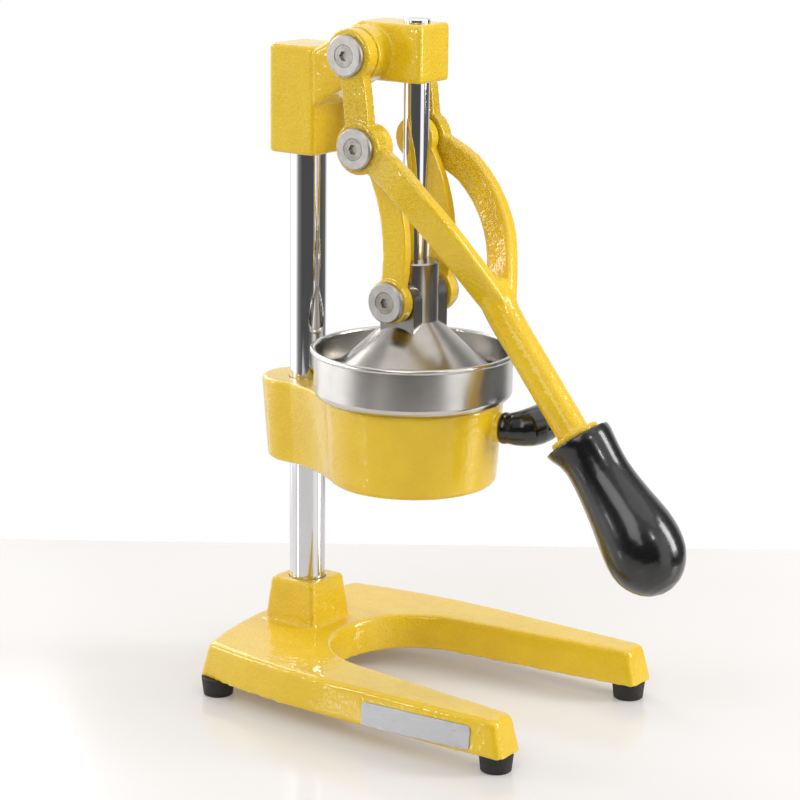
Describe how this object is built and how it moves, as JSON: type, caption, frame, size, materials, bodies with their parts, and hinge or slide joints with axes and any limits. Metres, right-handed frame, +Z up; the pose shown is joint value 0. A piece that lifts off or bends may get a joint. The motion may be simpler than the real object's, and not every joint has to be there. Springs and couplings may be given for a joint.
{
  "type": "lever citrus juice press",
  "caption": "Bench-top citrus press: U-shaped cast base, chrome column, cast head with forked lever, links, sliding bell, bowl with strainer cone.",
  "frame": {"origin": "on the floor under the middle of the press's overall width and depth", "axes": "+Z up; -Y is the front, where the lever's grip and the open end of the base are; +X is the right side seen from the front; the plane X=0 is the symmetry plane of the casting and lever"},
  "size_m": [0.1994, 0.3392, 0.4642],
  "materials": {
    "yellow_enamel": "stove enamel over cast iron, slight casting texture under the coat",
    "chrome_bar": "bright chrome plate on ground steel bar",
    "stainless_sheet": "spun stainless sheet, fine circular lines",
    "cast_aluminium": "polished cast aluminium",
    "zinc_washer": "zinc plated steel, matt",
    "socket_screw": "dark steel screws",
    "bronze_bush": "sintered bronze",
    "black_bakelite": "moulded phenolic, glossy black",
    "black_rubber": "moulded rubber, matt"
  },
  "bodies": {
    "frame": {"base": "yellow_enamel", "rubber_feet": "black_rubber", "foot_screws": "socket_screw", "column": "chrome_bar", "column_bolt": "socket_screw", "column_bolt_washer": "zinc_washer", "top_head": "yellow_enamel", "head_set_screws": "socket_screw", "holder_set_screw": "socket_screw", "bowl_holder": "yellow_enamel", "counter_handle": "black_bakelite", "counter_handle_stud": "socket_screw", "juice_bowl": "stainless_sheet", "juice_funnel": "stainless_sheet", "strainer_cone": "stainless_sheet", "head_pivot_washers": "zinc_washer", "head_pivot_screws": "socket_screw", "head_pivot_bushes": "bronze_bush"},
    "lever": {"lever": "yellow_enamel", "lever_grip": "black_bakelite", "link_pivot_washers": "zinc_washer", "link_pivot_screws": "socket_screw", "link_pivot_bushes": "bronze_bush"},
    "plunger": {"pressing_bell": "cast_aluminium", "plunger_rod": "chrome_bar", "rod_set_screw": "socket_screw", "bell_pivot_washers": "zinc_washer", "bell_pivot_screws": "socket_screw", "bell_pivot_bushes": "bronze_bush", "bell_pivot_spacers": "zinc_washer"},
    "links": {"link_left": "yellow_enamel", "link_right": "yellow_enamel", "link_stubs": "socket_screw"}
  },
  "joints": [
    {"name": "lever_hinge", "type": "hinge", "parent": "frame", "child": "lever", "pos_m": [0, 0.06605, 0.4415], "axis": [-1, 0, 0], "range_deg": [0, 100]},
    {"name": "press_slide", "type": "slide", "parent": "frame", "child": "plunger", "axis": [0, 0, 1], "range_m": [0, 0.08166]},
    {"name": "link_pivot", "type": "hinge", "parent": "plunger", "child": "links", "pos_m": [0, 0.04055, 0.2802], "axis": [1, 0, 0], "range_deg": [0, 27.88]}
  ],
  "couplings": [
    {"joint": "press_slide", "follows": "lever_hinge", "m_per_rad": 0.046789},
    {"joint": "link_pivot", "follows": "lever_hinge", "ratio": 0.27884}
  ]
}
